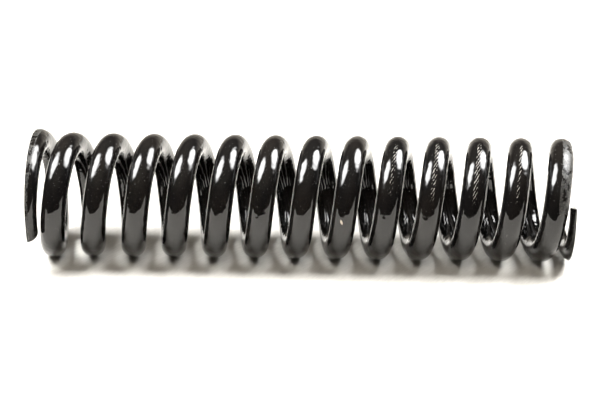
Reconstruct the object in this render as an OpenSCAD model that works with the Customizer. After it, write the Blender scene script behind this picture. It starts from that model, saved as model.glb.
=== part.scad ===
// Left-hand wound, cold-coiled compression spring with closed and ground ends.
// The spring lies along +X. The origin is the centre of the fixed seat, which is
// the plane X = 0, and the free seat faces +X at X = free_length.
//
// The wire is followed by its turn coordinate t: whole numbers are where it
// passes the front (-Y), a quarter past is the top (+Z), and so on. Every joint
// between coils lies in a plane that holds the spring's axis, so coils can
// travel along the axis without running into each other.

/* [Wire] */
// Diameter of the coated wire
wire_d = 10; // [8:0.5:10]
// Mean diameter of the active coils, from wire centre to wire centre
mean_d = 40.7; // [38:0.1:60]

/* [Winding] */
// Axial advance of one active coil
pitch = 16.6; // [16.6:0.1:22]
// Number of whole coils that move between the two end coils
moving_coils = 11; // [5:1:14]

/* [Fixed end] */
// Turns of wire in the fixed end coil
fixed_turns = 1.31; // [1.3:0.01:1.45]
// Turns from the fixed tip over which the wire lies flat before it starts to rise
fixed_flat = 0.31; // [0.2:0.01:0.31]
// How gently the wire goes over from flat to rising, in turns
fixed_blend = 0.28; // [0.1:0.01:0.3]
// Thickness left at the fixed tip after grinding
fixed_tip = 3.6; // [2:0.1:5]
// How much wider the fixed tip is coiled, on the radius
fixed_flare = 3; // [0:0.1:3.5]

/* [Free end] */
// Turns of wire in the free end coil
free_turns = 1.79; // [1.6:0.01:1.9]
// Turns before the free tip over which the wire lies flat
free_flat = 0.35; // [0.2:0.01:0.36]
// How gently the wire goes over from rising to flat, in turns
free_blend = 0.16; // [0.1:0.01:0.3]
// Thickness left at the free tip after grinding
free_tip = 2.2; // [1.5:0.1:4]
// How much tighter the free tip is coiled, on the radius
free_tuck = 0.4; // [0:0.1:1.5]

/* [Smoothness] */
// Flats around the wire
sides = 16; // [10:2:18]
// Angle between two rings of points along the coil
ring_step = 10; // [10, 15]

/* [Hidden] */
wire_r = wire_d / 2;
mean_r = mean_d / 2;
// Turns over which the flare and the tuck fade into the round body
flare_reach = 0.5;
tuck_reach = 0.9;
// The cut between two coils is at the top of the spring
first_cut = 1.25;
tip_turn = first_cut - fixed_turns;
last_cut = first_cut + moving_coils;
end_turn = last_cut + free_turns;
// A ring of flats with the same area as the round wire
facet_r = wire_r * sqrt(2 * PI / (sides * sin(360 / sides)));
free_length = lay(end_turn) - (wire_r - free_tip);
// Half of the block that is ground away at a seat
grind = 2 * mean_d;

// Name of a moving coil, counted from the fixed end: coil_01, coil_02 ...
function coil_name(k) = str("coil_", k < 10 ? "0" : "", k);

// How far u has gone past 0, in turns, with the bend at 0 rounded over blend turns
function past(u, blend) = blend * ln(1 + exp(u / blend));

// How much of the past() bend is behind at u: 0 before it and 1 well after it
function past_slope(u, blend) = 1 / (1 + exp(-u / blend));

// X of the wire's centre at turn t
function lay(t) =
    fixed_tip - wire_r
    + pitch * (
        t - tip_turn
        + past(tip_turn + fixed_flat - t, fixed_blend)
        - past(fixed_flat, fixed_blend)
        - past(t - end_turn + free_flat, free_blend)
    );

// Advance per turn at turn t
function slope(t) =
    pitch * (
        1
        - past_slope(tip_turn + fixed_flat - t, fixed_blend)
        - past_slope(t - end_turn + free_flat, free_blend)
    );

// Radius of the wire's centre line at turn t
function coil_r(t) =
    mean_r
    + fixed_flare * exp((tip_turn - t) / flare_reach)
    - free_tuck * exp((t - end_turn) / tuck_reach);

// How much the wire's slant stretches its section in a plane through the axis
function slant(t) = norm([1, slope(t) / (2 * PI * coil_r(t))]);

// Point at angle a around the wire, in the plane through the axis at turn t.
// Angle 0 points away from the spring's axis and angle 90 along +X.
function wire_point(t, a) =
    let (r = coil_r(t) + facet_r * cos(a))
    [
        lay(t) + facet_r * slant(t) * sin(a),
        -r * cos(360 * t),
        r * sin(360 * t)
    ];

// Turns at which a length of wire has rings: its ends, and every ring_step between
function ring_turns(t0, t1) =
    let (step = ring_step / 360)
    concat(
        [t0],
        [for (i = [floor(t0 / step + 0.01) + 1 : ceil(t1 / step - 0.01) - 1]) i * step],
        [t1]
    );

// A closed length of wire from turn t0 to turn t1, flat at both ends
module wire(t0, t1) {
    turns = ring_turns(t0, t1);
    rings = len(turns) - 1;
    points = [
        for (t = turns, j = [0 : sides - 1])
            wire_point(t, 360 * j / sides)
    ];
    skin = [
        for (i = [0 : rings - 1], j = [0 : sides - 1])
            let (
                a = i * sides + j,
                b = i * sides + (j + 1) % sides,
                c = a + sides,
                d = b + sides
            )
            each [[a, c, b], [b, c, d]]
    ];
    start_cap = [for (j = [0 : sides - 1]) j];
    end_cap = [for (j = [sides - 1 : -1 : 0]) rings * sides + j];
    polyhedron(points, concat([start_cap, end_cap], skin), convexity = 10);
}

// Everything beyond a seat plane at X = x, on the side that dir (1 or -1) points to
module beyond_seat(x, dir) {
    translate([x + dir * grind / 2, 0, 0])
        cube([grind, 2 * grind, 2 * grind], center = true);
}

// The coil that stands on the fixed seat, closed against the next and ground flat
module fixed_end_coil() {
    color([0.13, 0.13, 0.13])
        difference() {
            wire(tip_turn, first_cut);
            beyond_seat(0, -1);
        }
}

// The coil under the free seat, closed against the one before and ground flat
module free_end_coil() {
    color([0.16, 0.16, 0.16])
        difference() {
            wire(last_cut, end_turn);
            beyond_seat(free_length, 1);
        }
}

// One whole coil of the working length, counted from the fixed end
module moving_coil(k) {
    color(k % 2 == 0 ? [0.05, 0.05, 0.05] : [0.08, 0.08, 0.08])
        wire(first_cut + k - 1, first_cut + k);
}

fixed_end_coil();
for (k = [1 : moving_coils]) moving_coil(k);
free_end_coil();
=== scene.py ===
import math

import bpy
import numpy as np
from mathutils import Matrix, Vector


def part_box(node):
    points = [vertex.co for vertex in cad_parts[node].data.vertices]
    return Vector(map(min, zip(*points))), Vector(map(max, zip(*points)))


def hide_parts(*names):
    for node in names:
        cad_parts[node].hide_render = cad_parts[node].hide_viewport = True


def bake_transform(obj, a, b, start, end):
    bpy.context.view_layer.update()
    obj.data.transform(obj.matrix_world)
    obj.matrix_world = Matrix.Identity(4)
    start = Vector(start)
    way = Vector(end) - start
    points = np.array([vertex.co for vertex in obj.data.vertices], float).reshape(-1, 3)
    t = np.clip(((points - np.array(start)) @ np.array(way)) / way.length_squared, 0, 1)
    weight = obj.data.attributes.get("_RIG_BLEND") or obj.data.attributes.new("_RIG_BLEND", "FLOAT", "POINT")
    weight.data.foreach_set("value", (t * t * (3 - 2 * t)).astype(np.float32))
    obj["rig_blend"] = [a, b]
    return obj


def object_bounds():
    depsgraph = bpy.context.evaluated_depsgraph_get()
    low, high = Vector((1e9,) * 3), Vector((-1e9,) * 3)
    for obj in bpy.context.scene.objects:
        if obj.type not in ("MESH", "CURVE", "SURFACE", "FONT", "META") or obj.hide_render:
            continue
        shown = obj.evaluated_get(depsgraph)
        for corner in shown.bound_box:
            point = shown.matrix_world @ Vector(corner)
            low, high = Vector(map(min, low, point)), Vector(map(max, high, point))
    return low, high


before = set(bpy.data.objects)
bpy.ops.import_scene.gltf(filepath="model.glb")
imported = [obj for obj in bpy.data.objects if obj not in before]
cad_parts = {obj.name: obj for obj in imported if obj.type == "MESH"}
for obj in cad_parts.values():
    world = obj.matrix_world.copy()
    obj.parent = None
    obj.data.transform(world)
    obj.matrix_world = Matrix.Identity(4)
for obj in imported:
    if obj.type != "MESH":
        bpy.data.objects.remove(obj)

# The black coil spring, lying on its side on a white table. One piece of wire for each CAD node.
# Everything is in metres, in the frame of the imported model: the spring lies along X.

MM = 0.001
TAU = 2 * math.pi
cad_low, cad_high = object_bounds()
FREE_LENGTH = cad_high.x - cad_low.x

# ---------------------------------------------------------------- the wire's path, as in the CAD source

WIRE_R = 5.0 * MM
COIL_R = 20.35 * MM
PITCH = 16.6 * MM
MOVING_COILS = 11
FIXED_TURNS = 1.31
FIXED_FLAT = 0.31
FIXED_BLEND = 0.28
FIXED_TIP = 3.6 * MM
# a touch under the CAD's flare, so that the rounder wire stays inside the CAD box
FIXED_FLARE = 2.93 * MM
FLARE_REACH = 0.5
FREE_TURNS = 1.79
FREE_FLAT = 0.35
FREE_BLEND = 0.16
FREE_TUCK = 0.4 * MM
TUCK_REACH = 0.9
FIRST_CUT = 1.25
TIP_TURN = FIRST_CUT - FIXED_TURNS
LAST_CUT = FIRST_CUT + MOVING_COILS
END_TURN = LAST_CUT + FREE_TURNS
TURN_LENGTH = math.hypot(TAU * COIL_R, PITCH)


def past(distance, blend):
    """How far a distance has gone past 0, with the bend at 0 rounded over."""
    return blend * np.logaddexp(0, distance / blend)


def past_slope(distance, blend):
    return 1 / (1 + np.exp(-distance / blend))


def lay(turn):
    """Where the wire's centre lies along the spring's axis."""
    fixed_end = past(TIP_TURN + FIXED_FLAT - turn, FIXED_BLEND) - past(FIXED_FLAT, FIXED_BLEND)
    free_end = past(turn - END_TURN + FREE_FLAT, FREE_BLEND)
    return FIXED_TIP - WIRE_R + PITCH * (turn - TIP_TURN + fixed_end - free_end)


def rise(turn):
    """How far the wire goes along the axis in one turn."""
    fixed_end = past_slope(TIP_TURN + FIXED_FLAT - turn, FIXED_BLEND)
    free_end = past_slope(turn - END_TURN + FREE_FLAT, FREE_BLEND)
    return PITCH * (1 - fixed_end - free_end)


def coil_radius(turn):
    flare = FIXED_FLARE * np.exp((TIP_TURN - turn) / FLARE_REACH)
    tuck = FREE_TUCK * np.exp((turn - END_TURN) / TUCK_REACH)
    return COIL_R + flare - tuck


# ---------------------------------------------------------------- the coating's unevenness

PEEL_WAVE = 2.6 * MM
PEEL_SLOPE = 0.03
SWELL_WAVE = 11 * MM
SWELL_SLOPE = 0.009
NIBS_PER_TURN = 26
NIB_WIDTH = (0.28 * MM, 0.55 * MM)
NIB_HEIGHT = (0.02 * MM, 0.055 * MM)


def waves(turn, around, wave, slope, count, seed):
    """A random sum of waves over the wire's surface, with this wavelength and root-mean-square slope."""
    rng = np.random.default_rng(seed)
    along = turn * TURN_LENGTH
    total = np.zeros(around.shape)
    for _ in range(count):
        number = TAU / (wave * rng.uniform(0.7, 1.5))
        heading = rng.uniform(0, math.pi)
        lobes = round(number * WIRE_R * math.sin(heading))
        phase = number * math.cos(heading) * along + rng.uniform(0, TAU)
        total += np.cos(phase + lobes * around) / number
    return total * slope * math.sqrt(2 / count)


def side_angle(around, side):
    """How far round the wire a point is from a side, between minus and plus half a turn."""
    return (around - side + math.pi) % TAU - math.pi


def nibs(turn, around, seed):
    """Small grains of dust under the coating."""
    rng = np.random.default_rng(seed)
    total = np.zeros(around.shape)
    rings = turn[:, 0]
    for _ in range(round(NIBS_PER_TURN * (END_TURN - TIP_TURN))):
        at = rng.uniform(TIP_TURN, END_TURN)
        side = rng.uniform(-math.pi, math.pi)
        width = rng.uniform(*NIB_WIDTH)
        height = rng.uniform(*NIB_HEIGHT)
        reach = 3 * width / TURN_LENGTH
        first, last = np.searchsorted(rings, (at - reach, at + reach))
        if first == last:
            continue
        along = (rings[first:last, None] - at) * TURN_LENGTH
        across = side_angle(around[first:last], side)
        total[first:last] += height * np.exp(-(along**2 + (across * WIRE_R) ** 2) / width**2)
    return total


def skin(turn, around):
    """How far the coated surface stands out from a true round wire."""
    peel = waves(turn, around, PEEL_WAVE, PEEL_SLOPE, 36, seed=11)
    swell = waves(turn, around, SWELL_WAVE, SWELL_SLOPE, 12, seed=12)
    return peel + swell + nibs(turn, around, seed=13)


# ---------------------------------------------------------------- marks in the coating

# sides are angles round the wire from its outermost line
FAINT = 0.16
WORN_SIDE = 0.04
WORN_WIDTH = (0.17, 0.1)
DULL_TURNS = (13.0, 13.8)
CHIP_TURN = 8.0
CHIP_SIDE = -0.2
CHIP_SLANT = math.radians(32)
CHIP_LENGTH = 1.1 * MM
CHIP_WIDTH = 0.45 * MM


def worn(turn, around):
    """Where the coating is rubbed: a thin line outermost on the front of each coil."""
    place = (turn + 0.5) % 1 - 0.5
    upper_front = np.clip((place - 0.035) / 0.06, 0, 1) * np.clip((0.24 - place) / 0.03, 0, 1)
    lower_front = np.clip((place + 0.1) / 0.04, 0, 1) * np.clip((0.05 - place) / 0.04, 0, 1)
    width = np.interp(turn, (11.5, 12.0), WORN_WIDTH)
    line = np.exp(-((side_angle(around, WORN_SIDE) / width) ** 4))
    strength = np.clip((turn - 8) / 2.5, FAINT, 1) * np.clip((12.9 - turn) / 0.3, 0, 1)
    return (upper_front + FAINT * lower_front) * line * strength


def dull(turn, around, x):
    """Where the coating is thin and matt: the outer half of the last coil, and along the fixed seat."""
    first, last = DULL_TURNS
    last_coil = np.clip((turn - first) / 0.06, 0, 1) * np.clip((last - turn) / 0.06, 0, 1)
    free_end = last_coil * np.clip((np.sin(around) - 0.02) / 0.08, 0, 1)
    width = (1.1 + 7 * np.clip(turn - 0.05, 0, 0.25)) * MM
    fixed_end = np.clip((0.5 - turn) / 0.1, 0, 1) * np.clip((width - x) / (1.2 * MM) + 0.5, 0, 1)
    return np.maximum(free_end, fixed_end)


def chipped(turn, around):
    """One small chip in the coating, on the front of a coil in the middle."""
    along = (turn - CHIP_TURN) * TURN_LENGTH
    across = side_angle(around, CHIP_SIDE) * WIRE_R
    lengthways = along * math.cos(CHIP_SLANT) - across * math.sin(CHIP_SLANT)
    sideways = along * math.sin(CHIP_SLANT) + across * math.cos(CHIP_SLANT)
    return np.exp(-((lengthways / CHIP_LENGTH) ** 2) - (sideways / CHIP_WIDTH) ** 2)


# ---------------------------------------------------------------- the wire's mesh

RINGS_PER_TURN = 360
SIDES = 96
SEAT_SIDES = 32
SEAT_ZONE = math.radians(14)
RIM_ROUND = 0.12 * MM
TIP_ROUND = 0.5 * MM
TIP_RINGS = 6
GROUND_EDGE = 0.4 * MM
EASE_TURNS = 0.35


def crowd(count, crowding):
    """Steps from 0 to 1, closer together at both ends."""
    step = np.arange(count) / count
    return step - crowding * np.sin(TAU * step) / TAU


def ring_angles(turn, seat_side):
    """The angle of each point round the wire. Points crowd at the edges of a ground seat."""
    if seat_side == 0:
        return np.tile(np.arange(SIDES) * TAU / SIDES, (len(turn), 1))
    to_seat = lay(turn) if seat_side < 0 else FREE_LENGTH - lay(turn)
    slant = np.hypot(1, rise(turn) / (TAU * coil_radius(turn)))
    half = np.arccos(np.clip(to_seat / (WIRE_R * slant), -1, 1))
    half = np.hypot(half, SEAT_ZONE)[:, None]
    flat = -half + 2 * half * crowd(SEAT_SIDES, 0.8)
    rest = half + (TAU - 2 * half) * crowd(SIDES - SEAT_SIDES, 0.5)
    return np.concatenate([flat, rest], 1) + seat_side * TAU / 4


def beyond(depth):
    """How far a point is cut back to the seat's plane, with a small rounded rim."""
    return (depth + np.hypot(depth, RIM_ROUND)) / 2


def narrowed(around, radius, to_seat, seat_side):
    """How far out of the wire's centre line each point is.

    Where more than half of the wire is ground away, its cut face is narrower than the wire.
    """
    rim = np.arccos(np.clip(to_seat / radius, -1, 1))
    from_seat = (around - seat_side * TAU / 4 + math.pi) % TAU - math.pi
    squeezed = from_seat * TAU / 4 / np.maximum(rim, TAU / 4)
    on_face = (np.abs(from_seat) < rim) & (rim > TAU / 4)
    across_face = -seat_side * radius * np.sin(rim) * np.sin(squeezed)
    return np.where(on_face, across_face, radius * np.cos(around))


def wire_surface(turn, around, shrink, seat_side):
    """Points of the wire's surface, their place on the wire, and whether they are ground."""
    column = turn[:, None]
    radius = WIRE_R + skin(column, around) - shrink[:, None]
    slant = np.hypot(1, rise(column) / (TAU * coil_radius(column)))
    outward = radius * np.cos(around)
    if seat_side:
        to_seat = lay(column) if seat_side < 0 else FREE_LENGTH - lay(column)
        outward = narrowed(around, radius, to_seat / slant, seat_side)
    out = coil_radius(column) + outward
    x = lay(column) + radius * slant * np.sin(around)
    cut = np.zeros(x.shape)
    if seat_side < 0:
        cut = -x
        x = x + beyond(cut)
    elif seat_side > 0:
        cut = x - FREE_LENGTH
        x = x - beyond(cut)
    turned = column * TAU
    points = np.stack([x, -out * np.cos(turned), out * np.sin(turned)], -1)
    along = np.broadcast_to(column * TURN_LENGTH, x.shape)
    place = np.stack([along, WIRE_R * np.cos(around), WIRE_R * np.sin(around)], -1)
    ground = np.clip(cut / GROUND_EDGE + 0.3, 0, 1) if seat_side else cut
    return points, place, ground


def surface_normals(points):
    """Normals of the inner rings from the rings on both sides."""
    along = points[2:] - points[:-2]
    inner = points[1:-1]
    across = np.roll(inner, -1, 1) - np.roll(inner, 1, 1)
    normal = np.cross(across, along)
    return normal / np.linalg.norm(normal, axis=-1, keepdims=True)


def rings_between(start, end, tip_at_start, tip_at_end):
    """The rings' turns and how far each is drawn in, with a rounded edge at a cut tip."""
    count = round((end - start) * RINGS_PER_TURN)
    turns = np.linspace(start, end, count + 1)
    drawn = np.zeros(len(turns))
    angle = np.linspace(0, TAU / 4, TIP_RINGS)
    back = TIP_ROUND * (1 - np.sin(angle)) / TURN_LENGTH
    inward = TIP_ROUND * (1 - np.cos(angle))
    if tip_at_start:
        keep = turns > start + TIP_ROUND / TURN_LENGTH
        turns = np.concatenate([(start + back)[::-1], turns[keep]])
        drawn = np.concatenate([inward[::-1], drawn[keep]])
    if tip_at_end:
        keep = turns < end - TIP_ROUND / TURN_LENGTH
        turns = np.concatenate([turns[keep], end - back])
        drawn = np.concatenate([drawn[keep], inward])
    return turns, drawn


def eased(distance):
    """The distance, with a soft start over the first EASE_TURNS."""
    distance = np.maximum(distance, 0)
    return np.where(distance < EASE_TURNS, distance**2 / (2 * EASE_TURNS), distance - EASE_TURNS / 2)


def travel_share(turn):
    """The share of the travel that the wire moves by: none at the fixed end, all at the free end."""
    whole = LAST_CUT - FIRST_CUT - EASE_TURNS
    return (eased(turn - FIRST_CUT) - eased(turn - LAST_CUT + EASE_TURNS)) / whole


def mesh_from_grid(name, points, normals):
    """A closed tube from a grid of points, with a flat cap at both ends."""
    rings, sides = points.shape[:2]
    ring, side = np.meshgrid(np.arange(rings - 1), np.arange(sides), indexing="ij")
    after = (side + 1) % sides
    quads = np.stack(
        [
            ring * sides + side,
            ring * sides + after,
            (ring + 1) * sides + after,
            (ring + 1) * sides + side,
        ],
        -1,
    ).reshape(-1, 4)
    first_cap = np.arange(sides)[::-1]
    last_cap = np.arange(sides) + (rings - 1) * sides
    loops = np.concatenate([quads.ravel(), first_cap, last_cap])
    sizes = np.concatenate([np.full(len(quads), 4), [sides, sides]])
    starts = np.concatenate([[0], np.cumsum(sizes)[:-1]])
    mesh = bpy.data.meshes.new(name)
    mesh.vertices.add(rings * sides)
    mesh.vertices.foreach_set("co", points.astype(np.float32).ravel())
    mesh.loops.add(len(loops))
    mesh.loops.foreach_set("vertex_index", loops.astype(np.int32))
    mesh.polygons.add(len(sizes))
    mesh.polygons.foreach_set("loop_start", starts.astype(np.int32))
    mesh.update(calc_edges=True)
    mesh.validate()
    mesh.shade_smooth()
    mesh.normals_split_custom_set_from_vertices(normals.reshape(-1, 3).tolist())
    return mesh


def add_attribute(mesh, name, kind, values):
    attribute = mesh.attributes.new(name, kind, "POINT")
    field = "vector" if kind == "FLOAT_VECTOR" else "value"
    attribute.data.foreach_set(field, values.astype(np.float32).ravel())


def wire_piece(node, start, end, material):
    """The length of wire between two turns, which stands for one CAD node."""
    seat_side = int(end == END_TURN) - int(start == TIP_TURN)
    turns, drawn = rings_between(start, end, seat_side < 0, seat_side > 0)
    # one more ring before and after, which only gives the end rings their normals
    before, after = turns[0] - 1 / RINGS_PER_TURN, turns[-1] + 1 / RINGS_PER_TURN
    drawn_before, drawn_after = 0, 0
    if seat_side < 0:
        before, drawn_before = turns[0], TIP_ROUND + 1 * MM
    if seat_side > 0:
        after, drawn_after = turns[-1], TIP_ROUND + 1 * MM
    all_turns = np.concatenate([[before], turns, [after]])
    all_drawn = np.concatenate([[drawn_before], drawn, [drawn_after]])
    around = ring_angles(all_turns, seat_side)
    points, place, ground = wire_surface(all_turns, around, all_drawn, seat_side)
    normals = surface_normals(points)
    mesh = mesh_from_grid("wire_" + node, points[1:-1], normals)
    column = turns[:, None]
    add_attribute(mesh, "wire_place", "FLOAT_VECTOR", place[1:-1])
    add_attribute(mesh, "ground", "FLOAT", ground[1:-1])
    add_attribute(mesh, "worn", "FLOAT", worn(column, around[1:-1]))
    add_attribute(mesh, "chipped", "FLOAT", chipped(column, around[1:-1]))
    add_attribute(mesh, "dull", "FLOAT", dull(column, around[1:-1], points[1:-1, :, 0]))
    mesh.materials.append(material)
    piece = bpy.data.objects.new("wire_" + node, mesh)
    bpy.context.scene.collection.objects.link(piece)
    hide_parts(node)
    low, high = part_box("fixed_end_coil")[1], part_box("free_end_coil")[0]
    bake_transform(piece, "fixed_end", "free_end", start=(low.x, 0, 0), end=(high.x, 0, 0))
    share = np.broadcast_to(travel_share(column), around[1:-1].shape)
    mesh.attributes["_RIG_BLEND"].data.foreach_set("value", share.astype(np.float32).ravel())
    return piece


# ---------------------------------------------------------------- materials

TICK_STEP = 1.9 * MM
TICK_SLANT = 1.9
GLOSS_BLACK = (0.0028, 0.0026, 0.0026, 1)
GLOSS_BROWN = (0.006, 0.005, 0.0042, 1)
MATT_BLACK = (0.006, 0.007, 0.0065, 1)
MATT_GREY = (0.08, 0.075, 0.067, 1)
MATT_SPOT = (0.012, 0.011, 0.010, 1)
RUBBED_GREY = (0.42, 0.39, 0.35, 1)
DUST_GREY = (0.3, 0.29, 0.27, 1)
CHIP_BEIGE = (0.42, 0.36, 0.29, 1)
CLOTH_TURN = math.radians(35)
CLOTH_DARK = (0.59, 0.57, 0.53, 1)
CLOTH_LIGHT = (0.68, 0.66, 0.62, 1)


def new_material(name):
    material = bpy.data.materials.new(name)
    material.use_nodes = True
    material.node_tree.nodes.clear()
    return material, material.node_tree


def add_node(tree, kind, inputs=None, **settings):
    """A shader node with its settings, and inputs that are values or other nodes' outputs."""
    node = tree.nodes.new(kind)
    for name, value in settings.items():
        setattr(node, name, value)
    for name, value in (inputs or {}).items():
        if isinstance(value, bpy.types.NodeSocket):
            tree.links.new(value, node.inputs[name])
        else:
            node.inputs[name].default_value = value
    return node


def maths(tree, operation, first, second=0.0):
    return add_node(tree, "ShaderNodeMath", {0: first, 1: second}, operation=operation).outputs[0]


def vector_maths(tree, operation, first, second=(0, 0, 0)):
    return add_node(tree, "ShaderNodeVectorMath", {0: first, 1: second}, operation=operation)


def between(tree, value, low, high, to_low=0.0, to_high=1.0, smooth=True):
    """The value mapped from one range to another and held at its ends."""
    inputs = {"Value": value, "From Min": low, "From Max": high, "To Min": to_low, "To Max": to_high}
    kind = "SMOOTHSTEP" if smooth else "LINEAR"
    return add_node(tree, "ShaderNodeMapRange", inputs, interpolation_type=kind).outputs["Result"]


def mix(tree, factor, first, second):
    """A blend of two colours."""
    node = add_node(tree, "ShaderNodeMix", {0: factor}, data_type="RGBA")
    for socket, value in ((node.inputs[6], first), (node.inputs[7], second)):
        if isinstance(value, bpy.types.NodeSocket):
            tree.links.new(value, socket)
        else:
            socket.default_value = value
    return node.outputs[2]


def noise(tree, vector, size, detail=3.0, roughness=0.55, stretch=(1, 1, 1)):
    """Noise with features of this size in metres."""
    scale = [1 / (size * s) for s in stretch]
    scaled = vector_maths(tree, "MULTIPLY", vector, scale)
    inputs = {"Vector": scaled.outputs[0], "Scale": 1.0, "Detail": detail, "Roughness": roughness}
    return add_node(tree, "ShaderNodeTexNoise", inputs).outputs[0]


def mask(tree, name):
    """One of the numbers that each piece's mesh carries for every point."""
    return add_node(tree, "ShaderNodeAttribute", attribute_name=name).outputs["Fac"]


def coating_material(name, speckle):
    """Black gloss coating over steel wire, with dust, rubbed places and matt ends."""
    material, tree = new_material(name)
    place = add_node(tree, "ShaderNodeAttribute", attribute_name="wire_place").outputs["Vector"]
    worn_mask = mask(tree, "worn")
    dull_mask = mask(tree, "dull")
    ground_mask = mask(tree, "ground")
    chip_mask = mask(tree, "chipped")

    # gloss coat: nearly black, a little brown where it is thin, with faint streaks along the wire
    tone = noise(tree, place, 9 * MM, stretch=(2.5, 1, 1))
    gloss_colour = mix(tree, between(tree, tone, 0.35, 0.7), GLOSS_BLACK, GLOSS_BROWN)
    haze = noise(tree, place, 1.6 * MM, stretch=(4, 1, 1))
    gloss_rough = between(tree, haze, 0.35, 0.75, 0.055, 0.12)

    # specks of dust in the coat
    speck = noise(tree, place, 0.45 * MM, detail=1.0)
    specks = between(tree, speck, 0.74 - speckle, 0.78 - speckle)

    # rubbed places: a row of short slanting ticks along the wire, broken up by grit
    parts = add_node(tree, "ShaderNodeSeparateXYZ", {0: place})
    jitter = noise(tree, place, 1.3 * MM, detail=2.0)
    across = maths(tree, "MULTIPLY", parts.outputs["Z"], -TICK_SLANT / TICK_STEP)
    steps = maths(tree, "ADD", maths(tree, "MULTIPLY", parts.outputs["X"], 1 / TICK_STEP), across)
    steps = maths(tree, "ADD", steps, maths(tree, "MULTIPLY", jitter, 1.0))
    tick = maths(tree, "ABSOLUTE", maths(tree, "SUBTRACT", maths(tree, "FRACT", steps), 0.5))
    grit = noise(tree, place, 0.8 * MM, detail=3.0)
    tick_mask = between(tree, tick, 0.05, 0.15, 1.0, 0.0)
    marks = maths(tree, "MULTIPLY", tick_mask, between(tree, grit, 0.37, 0.56))
    rubbed = maths(tree, "MULTIPLY", marks, worn_mask)
    rubbed = between(tree, rubbed, 0.1, 0.55)

    # thin matt coat, patchy outside the ground faces
    grain = noise(tree, place, 0.7 * MM, detail=5.0, roughness=0.7)
    spots = noise(tree, place, 2.6 * MM, detail=2.0)
    matt_colour = mix(tree, between(tree, grain, 0.44, 0.64), MATT_BLACK, MATT_GREY)
    matt_colour = mix(tree, between(tree, spots, 0.51, 0.57), matt_colour, MATT_SPOT)
    ragged = maths(tree, "MULTIPLY", maths(tree, "SUBTRACT", grain, 0.5), 0.7)
    matt_edge = maths(tree, "ADD", dull_mask, ragged)
    thin = between(tree, matt_edge, 0.42, 0.58)
    patchy = maths(tree, "MULTIPLY", thin, between(tree, spots, 0.5, 0.6, 1.0, 0.25))
    matt = maths(tree, "MAXIMUM", patchy, ground_mask)

    # everything over each other
    colour = mix(tree, maths(tree, "MULTIPLY", rubbed, 0.8), gloss_colour, RUBBED_GREY)
    colour = mix(tree, maths(tree, "MULTIPLY", specks, 0.35), colour, DUST_GREY)
    colour = mix(tree, matt, colour, matt_colour)
    colour = mix(tree, between(tree, chip_mask, 0.3, 0.6), colour, CHIP_BEIGE)

    rough = maths(tree, "MAXIMUM", gloss_rough, maths(tree, "MULTIPLY", rubbed, 0.36))
    rough = maths(tree, "MAXIMUM", rough, maths(tree, "MULTIPLY", matt, 0.42))

    relief = maths(tree, "MULTIPLY", marks, maths(tree, "MULTIPLY", worn_mask, 0.07))
    relief = maths(tree, "ADD", relief, maths(tree, "MULTIPLY", specks, 0.03))
    rough_coat = maths(tree, "MULTIPLY", grain, maths(tree, "MAXIMUM", thin, ground_mask))
    relief = maths(tree, "ADD", relief, maths(tree, "MULTIPLY", rough_coat, 0.1))
    bump = add_node(tree, "ShaderNodeBump", {"Height": relief, "Distance": MM, "Strength": 0.8})

    inputs = {"Base Color": colour, "Roughness": rough, "Normal": bump.outputs[0]}
    shader = add_node(tree, "ShaderNodeBsdfPrincipled", inputs)
    shader.inputs["IOR"].default_value = 1.52
    shader.inputs["Specular IOR Level"].default_value = 0.5
    output = add_node(tree, "ShaderNodeOutputMaterial")
    tree.links.new(shader.outputs[0], output.inputs["Surface"])
    return material


def table_material():
    """White table cloth with a fine slanting grain."""
    material, tree = new_material("white_table")
    place = add_node(tree, "ShaderNodeNewGeometry").outputs["Position"]
    weave = noise(tree, place, 0.5 * MM, detail=2.0)
    turn_inputs = {"Vector": place, "Angle": CLOTH_TURN}
    turned = add_node(tree, "ShaderNodeVectorRotate", turn_inputs, rotation_type="Z_AXIS")
    threads = noise(tree, turned.outputs[0], 0.5 * MM, detail=1.0, stretch=(1, 9, 1))
    weave_part = maths(tree, "MULTIPLY", weave, 0.4)
    cloth = maths(tree, "ADD", weave_part, maths(tree, "MULTIPLY", threads, 0.6))
    colour = mix(tree, between(tree, cloth, 0.3, 0.7), CLOTH_DARK, CLOTH_LIGHT)
    bump = add_node(tree, "ShaderNodeBump", {"Height": cloth, "Distance": 0.08 * MM, "Strength": 0.4})
    inputs = {"Base Color": colour, "Normal": bump.outputs[0]}
    shader = add_node(tree, "ShaderNodeBsdfPrincipled", inputs)
    shader.inputs["Roughness"].default_value = 0.85
    shader.inputs["Specular IOR Level"].default_value = 0.2
    output = add_node(tree, "ShaderNodeOutputMaterial")
    tree.links.new(shader.outputs[0], output.inputs["Surface"])
    return material


# ---------------------------------------------------------------- the spring

wire_gloss = coating_material("wire_coating", speckle=0.0)
end_gloss = coating_material("end_coating", speckle=0.02)

wire_piece("fixed_end_coil", TIP_TURN, FIRST_CUT, end_gloss)
for number in range(1, MOVING_COILS + 1):
    coil_start = FIRST_CUT + number - 1
    wire_piece(f"coil_{number:02d}", coil_start, coil_start + 1, wire_gloss)
wire_piece("free_end_coil", LAST_CUT, END_TURN, end_gloss)

# ---------------------------------------------------------------- table, light and camera

# the cloth gives a little under the wider end coil
CLOTH_GIVE = 0.4 * MM
middle = (cad_low + cad_high) / 2
table_z = cad_low.z + CLOTH_GIVE
TABLE_FRONT = -0.155
TABLE_BACK = 1.1
TABLE_HALF = 0.6
STUDIO_FRONT = (0.06, 0.055, 0.05, 1)
STUDIO_CEILING = (0.26, 0.24, 0.21, 1)
STUDIO_WALL = (1.02, 0.94, 0.82, 1)
WHITE = (1, 1, 1, 1)


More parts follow.
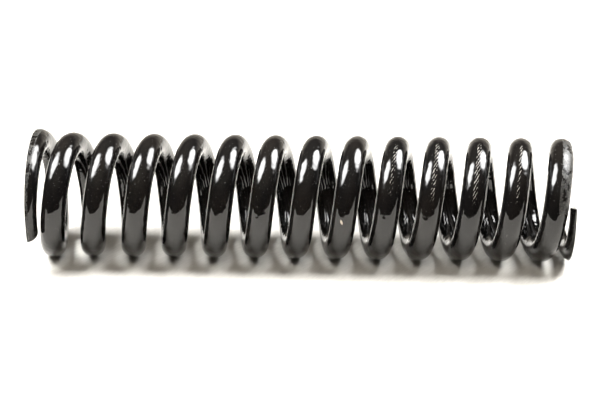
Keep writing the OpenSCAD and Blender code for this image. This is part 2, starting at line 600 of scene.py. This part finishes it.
def build_table():
    mesh = bpy.data.meshes.new("table")
    left, right = middle.x - TABLE_HALF, middle.x + TABLE_HALF
    corners = [
        (left, TABLE_FRONT, table_z),
        (right, TABLE_FRONT, table_z),
        (right, TABLE_BACK, table_z),
        (left, TABLE_BACK, table_z),
    ]
    mesh.from_pydata(corners, [], [(0, 1, 2, 3)])
    mesh.materials.append(table_material())
    table = bpy.data.objects.new("table", mesh)
    bpy.context.scene.collection.objects.link(table)


def fade_to_rim(light):
    """A diffuser that is evenly bright in the middle and fades towards its rim."""
    light.use_nodes = True
    tree = light.node_tree
    tree.nodes.clear()
    place = add_node(tree, "ShaderNodeNewGeometry").outputs["Parametric"]
    offset = vector_maths(tree, "SUBTRACT", place, (0.5, 0.5, 0))
    flat = vector_maths(tree, "MULTIPLY", offset.outputs[0], (1, 1, 0))
    radius = vector_maths(tree, "LENGTH", flat.outputs[0])
    strength = between(tree, radius.outputs["Value"], 0.27, 0.5, 1.0, 0.0)
    emission = add_node(tree, "ShaderNodeEmission", {"Strength": strength})
    output = add_node(tree, "ShaderNodeOutputLight")
    tree.links.new(emission.outputs[0], output.inputs["Surface"])


def soft_box(name, direction, distance, size, power, seen=True, lights_table=True):
    """A round diffuser lamp facing the spring's middle. Seen lamps show in the coating's gloss."""
    light = bpy.data.lights.new(name, "AREA")
    light.shape = "ELLIPSE"
    light.size, light.size_y = size
    light.energy = power
    if seen:
        fade_to_rim(light)
    lamp = bpy.data.objects.new(name, light)
    away = Vector(direction).normalized()
    lamp.location = Vector((middle.x, 0, 0)) + away * distance
    lamp.rotation_euler = away.to_track_quat("Z", "Y").to_euler()
    lamp.visible_glossy = seen
    lamp.visible_diffuse = lights_table
    bpy.context.scene.collection.objects.link(lamp)
    return lamp


def build_world():
    """A dim studio with a white wall behind the spring. The camera itself sees plain white."""
    world = bpy.data.worlds.new("studio")
    bpy.context.scene.world = world
    world.use_nodes = True
    tree = world.node_tree
    tree.nodes.clear()
    direction = add_node(tree, "ShaderNodeTexCoord").outputs["Generated"]
    parts = add_node(tree, "ShaderNodeSeparateXYZ", {0: direction})
    back, up = parts.outputs["Y"], parts.outputs["Z"]
    behind = between(tree, back, 0.3, 0.75)
    low_part = between(tree, up, 0.0, 0.45, 1.0, 0.0, smooth=False)
    backdrop = maths(tree, "MULTIPLY", behind, low_part)
    ceiling = between(tree, up, 0.3, 0.9)
    colour = mix(tree, ceiling, STUDIO_FRONT, STUDIO_CEILING)
    colour = mix(tree, backdrop, colour, STUDIO_WALL)
    studio = add_node(tree, "ShaderNodeBackground", {"Color": colour, "Strength": 1.0})
    plain = add_node(tree, "ShaderNodeBackground", {"Color": WHITE, "Strength": 1.0})
    seen = add_node(tree, "ShaderNodeLightPath").outputs["Is Camera Ray"]
    both = add_node(tree, "ShaderNodeMixShader", {0: seen, 1: studio.outputs[0], 2: plain.outputs[0]})
    output = add_node(tree, "ShaderNodeOutputWorld")
    tree.links.new(both.outputs[0], output.inputs["Surface"])


CAMERA_DISTANCE = 0.652
CAMERA_ELEVATION = math.radians(23)
CAMERA_YAW = math.radians(-1.79)
CAMERA_LENS = 95.7
AIM_ALONG = 107.82 * MM
AIM_BELOW = 1.22 * MM


def build_camera():
    """A long lens a little above the table, square to the spring."""
    data = bpy.data.cameras.new("camera")
    data.lens = CAMERA_LENS
    data.sensor_width = 36
    data.clip_start = 0.01
    data.clip_end = 50
    camera = bpy.data.objects.new("camera", data)
    across = Vector((math.cos(CAMERA_YAW), -math.sin(CAMERA_YAW), 0))
    level = Vector((math.sin(CAMERA_YAW), math.cos(CAMERA_YAW), 0))
    sine, cosine = math.sin(CAMERA_ELEVATION), math.cos(CAMERA_ELEVATION)
    forward = level * cosine - Vector((0, 0, sine))
    upward = level * sine + Vector((0, 0, cosine))
    turned = Matrix((across, upward, -forward)).transposed().to_4x4()
    aim = Vector((AIM_ALONG, 0, 0)) - upward * AIM_BELOW
    camera.matrix_world = Matrix.Translation(aim - forward * CAMERA_DISTANCE) @ turned
    bpy.context.scene.collection.objects.link(camera)
    bpy.context.scene.camera = camera


build_table()
# the two diffusers that the coils reflect, and the lamps that light the table and cast the shadow
soft_box("left_box", (-0.52, -0.01, 0.65), 0.84, (0.70, 0.84), 32, lights_table=False)
soft_box("right_box", (0.73, 0.29, 0.79), 1.12, (0.96, 1.16), 60, lights_table=False)
soft_box("left_key", (-0.46, -0.10, 0.70), 0.60, (0.28, 0.28), 8.8, seen=False)
soft_box("right_key", (0.62, 0.22, 0.84), 0.80, (0.36, 0.36), 13.5, seen=False)
front_fill = soft_box("front_fill", (0.0, -0.52, 0.60), 0.80, (0.30, 0.30), 2.0, seen=False)
front_fill.data.color = (1.0, 0.93, 0.83)
build_world()
build_camera()
bpy.context.scene.view_settings.view_transform = "Standard"
